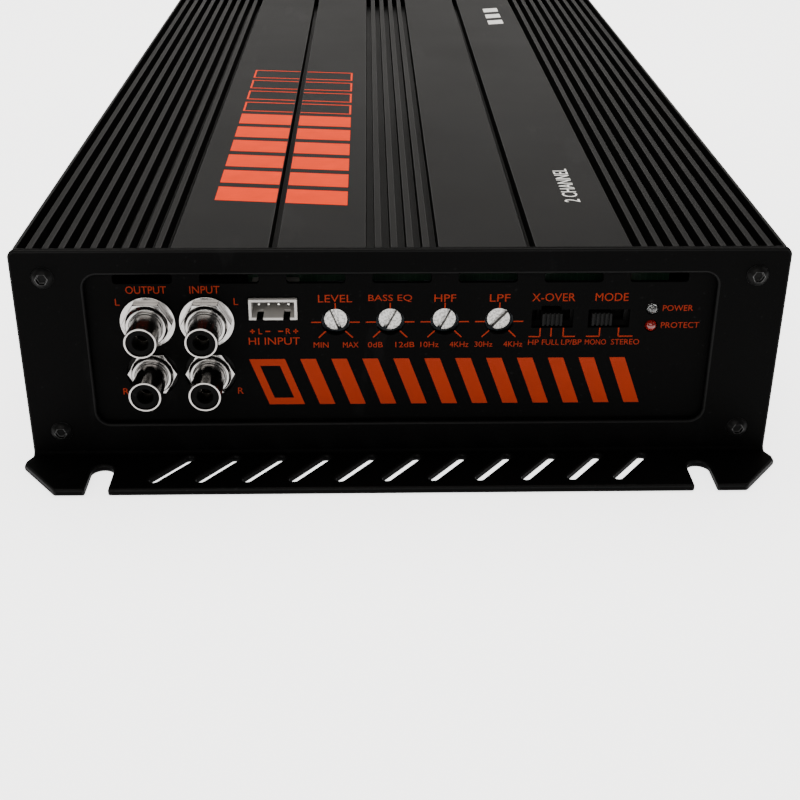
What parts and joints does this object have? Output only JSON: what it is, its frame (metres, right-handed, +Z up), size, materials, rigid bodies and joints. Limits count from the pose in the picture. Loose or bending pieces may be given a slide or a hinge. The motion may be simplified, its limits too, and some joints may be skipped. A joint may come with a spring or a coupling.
{
  "type": "car amplifier",
  "caption": "Car amplifier: finned aluminium shell between two end plates with bent mounting feet; signal jacks, dials and slide switches at one end, wire clamps and fuses at the other.",
  "frame": {"origin": "middle of the case on the surface that its feet stand on", "axes": "+X to the right seen from the control end, +Y from the control end to the terminal end, +Z up"},
  "size_m": [0.1944, 0.3552, 0.059],
  "materials": {
    "shell": "satin charcoal anodised",
    "plate": "fine black powder coat",
    "panel": "satin black",
    "cover": "satin black",
    "dark_screw": "black oxide",
    "bright_steel": "zinc plated",
    "standoff_brass": "plain",
    "board": "green solder mask",
    "black_plastic": "moulded",
    "chrome": "bright",
    "contact_brass": "plated",
    "white_plastic": "moulded",
    "shaft_metal": "nickel plated",
    "pot_body": "moulded",
    "slider_plastic": "moulded",
    "switch_metal": "tin plated",
    "clear_lamp": "clear",
    "red_lamp": "tinted",
    "ferrite": "coated",
    "copper_wire": "enamelled",
    "capacitor_sleeve": "heat-shrink sleeve",
    "pad": "silicone",
    "fuse_plastic": "tinted"
  },
  "bodies": {
    "case": {"heatsink_shell": "shell", "front_end_plate": "plate", "rear_end_plate": "plate", "front_panel": "panel", "rear_panel": "panel", "bottom_cover": "cover", "front_plate_screws": "dark_screw", "rear_plate_screws": "dark_screw", "cover_screws": "dark_screw", "board_standoffs": "standoff_brass", "board_screws": "bright_steel", "main_board": "board", "control_board": "board", "rca_housing": "black_plastic", "output_left_barrel": "chrome", "output_right_barrel": "chrome", "input_left_barrel": "chrome", "input_right_barrel": "chrome", "rca_nuts": "chrome", "rca_washers": "chrome", "rca_insulators": "black_plastic", "rca_contacts": "contact_brass", "header_socket": "white_plastic", "header_pins": "contact_brass", "level_pot": "pot_body", "bass_pot": "pot_body", "high_pass_pot": "pot_body", "low_pass_pot": "pot_body", "crossover_switch": "switch_metal", "mode_switch": "switch_metal", "power_lamp": "clear_lamp", "protect_lamp": "red_lamp", "toroid_core": "ferrite", "toroid_winding": "copper_wire", "capacitors": "capacitor_sleeve", "transistors": "black_plastic", "thermal_pads": "pad", "clamp_bars": "bright_steel", "clamp_screws": "bright_steel", "power_terminal": "black_plastic", "power_contacts": "contact_brass", "speaker_terminal": "black_plastic", "speaker_contacts": "contact_brass", "fuse_holder": "black_plastic"},
    "level_shaft": {"level_shaft": "shaft_metal"},
    "bass_shaft": {"bass_shaft": "shaft_metal"},
    "high_pass_shaft": {"high_pass_shaft": "shaft_metal"},
    "low_pass_shaft": {"low_pass_shaft": "shaft_metal"},
    "crossover_slider": {"crossover_slider": "slider_plastic"},
    "mode_slider": {"mode_slider": "slider_plastic"},
    "power_screw_1": {"power_screw_1": "bright_steel"},
    "power_screw_2": {"power_screw_2": "bright_steel"},
    "power_screw_3": {"power_screw_3": "bright_steel"},
    "speaker_screw_1": {"speaker_screw_1": "bright_steel"},
    "speaker_screw_2": {"speaker_screw_2": "bright_steel"},
    "speaker_screw_3": {"speaker_screw_3": "bright_steel"},
    "speaker_screw_4": {"speaker_screw_4": "bright_steel"},
    "fuse_upper": {"fuse_upper": "fuse_plastic"},
    "fuse_lower": {"fuse_lower": "fuse_plastic"}
  },
  "joints": [
    {"name": "level_turn", "type": "hinge", "parent": "case", "child": "level_shaft", "pos_m": [-0.0167, -0.156, 0.0386], "axis": [0, 1, 0], "range_deg": [-128, 172]},
    {"name": "bass_turn", "type": "hinge", "parent": "case", "child": "bass_shaft", "pos_m": [-0.00295, -0.156, 0.0386], "axis": [0, 1, 0], "range_deg": [-178, 122]},
    {"name": "high_pass_turn", "type": "hinge", "parent": "case", "child": "high_pass_shaft", "pos_m": [0.0108, -0.156, 0.0386], "axis": [0, 1, 0], "range_deg": [-177, 123]},
    {"name": "low_pass_turn", "type": "hinge", "parent": "case", "child": "low_pass_shaft", "pos_m": [0.02455, -0.156, 0.0386], "axis": [0, 1, 0], "range_deg": [-192, 108]},
    {"name": "crossover_slide", "type": "slide", "parent": "case", "child": "crossover_slider", "axis": [1, 0, 0], "range_m": [-0.0022, 0.0022]},
    {"name": "mode_slide", "type": "slide", "parent": "case", "child": "mode_slider", "axis": [1, 0, 0], "range_m": [0, 0.0034]},
    {"name": "power_clamp_1", "type": "slide", "parent": "case", "child": "power_screw_1", "axis": [0, 0, -1], "range_m": [0, 0.004]},
    {"name": "power_clamp_2", "type": "slide", "parent": "case", "child": "power_screw_2", "axis": [0, 0, -1], "range_m": [0, 0.003]},
    {"name": "power_clamp_3", "type": "slide", "parent": "case", "child": "power_screw_3", "axis": [0, 0, -1], "range_m": [0, 0.004]},
    {"name": "speaker_clamp_1", "type": "slide", "parent": "case", "child": "speaker_screw_1", "axis": [0, 0, -1], "range_m": [0, 0.0028]},
    {"name": "speaker_clamp_2", "type": "slide", "parent": "case", "child": "speaker_screw_2", "axis": [0, 0, -1], "range_m": [0, 0.0028]},
    {"name": "speaker_clamp_3", "type": "slide", "parent": "case", "child": "speaker_screw_3", "axis": [0, 0, -1], "range_m": [0, 0.0028]},
    {"name": "speaker_clamp_4", "type": "slide", "parent": "case", "child": "speaker_screw_4", "axis": [0, 0, -1], "range_m": [0, 0.0028]},
    {"name": "fuse_upper_pull", "type": "slide", "parent": "case", "child": "fuse_upper", "axis": [0, 1, 0], "range_m": [0, 0.02]},
    {"name": "fuse_lower_pull", "type": "slide", "parent": "case", "child": "fuse_lower", "axis": [0, 1, 0], "range_m": [0, 0.02]}
  ]
}
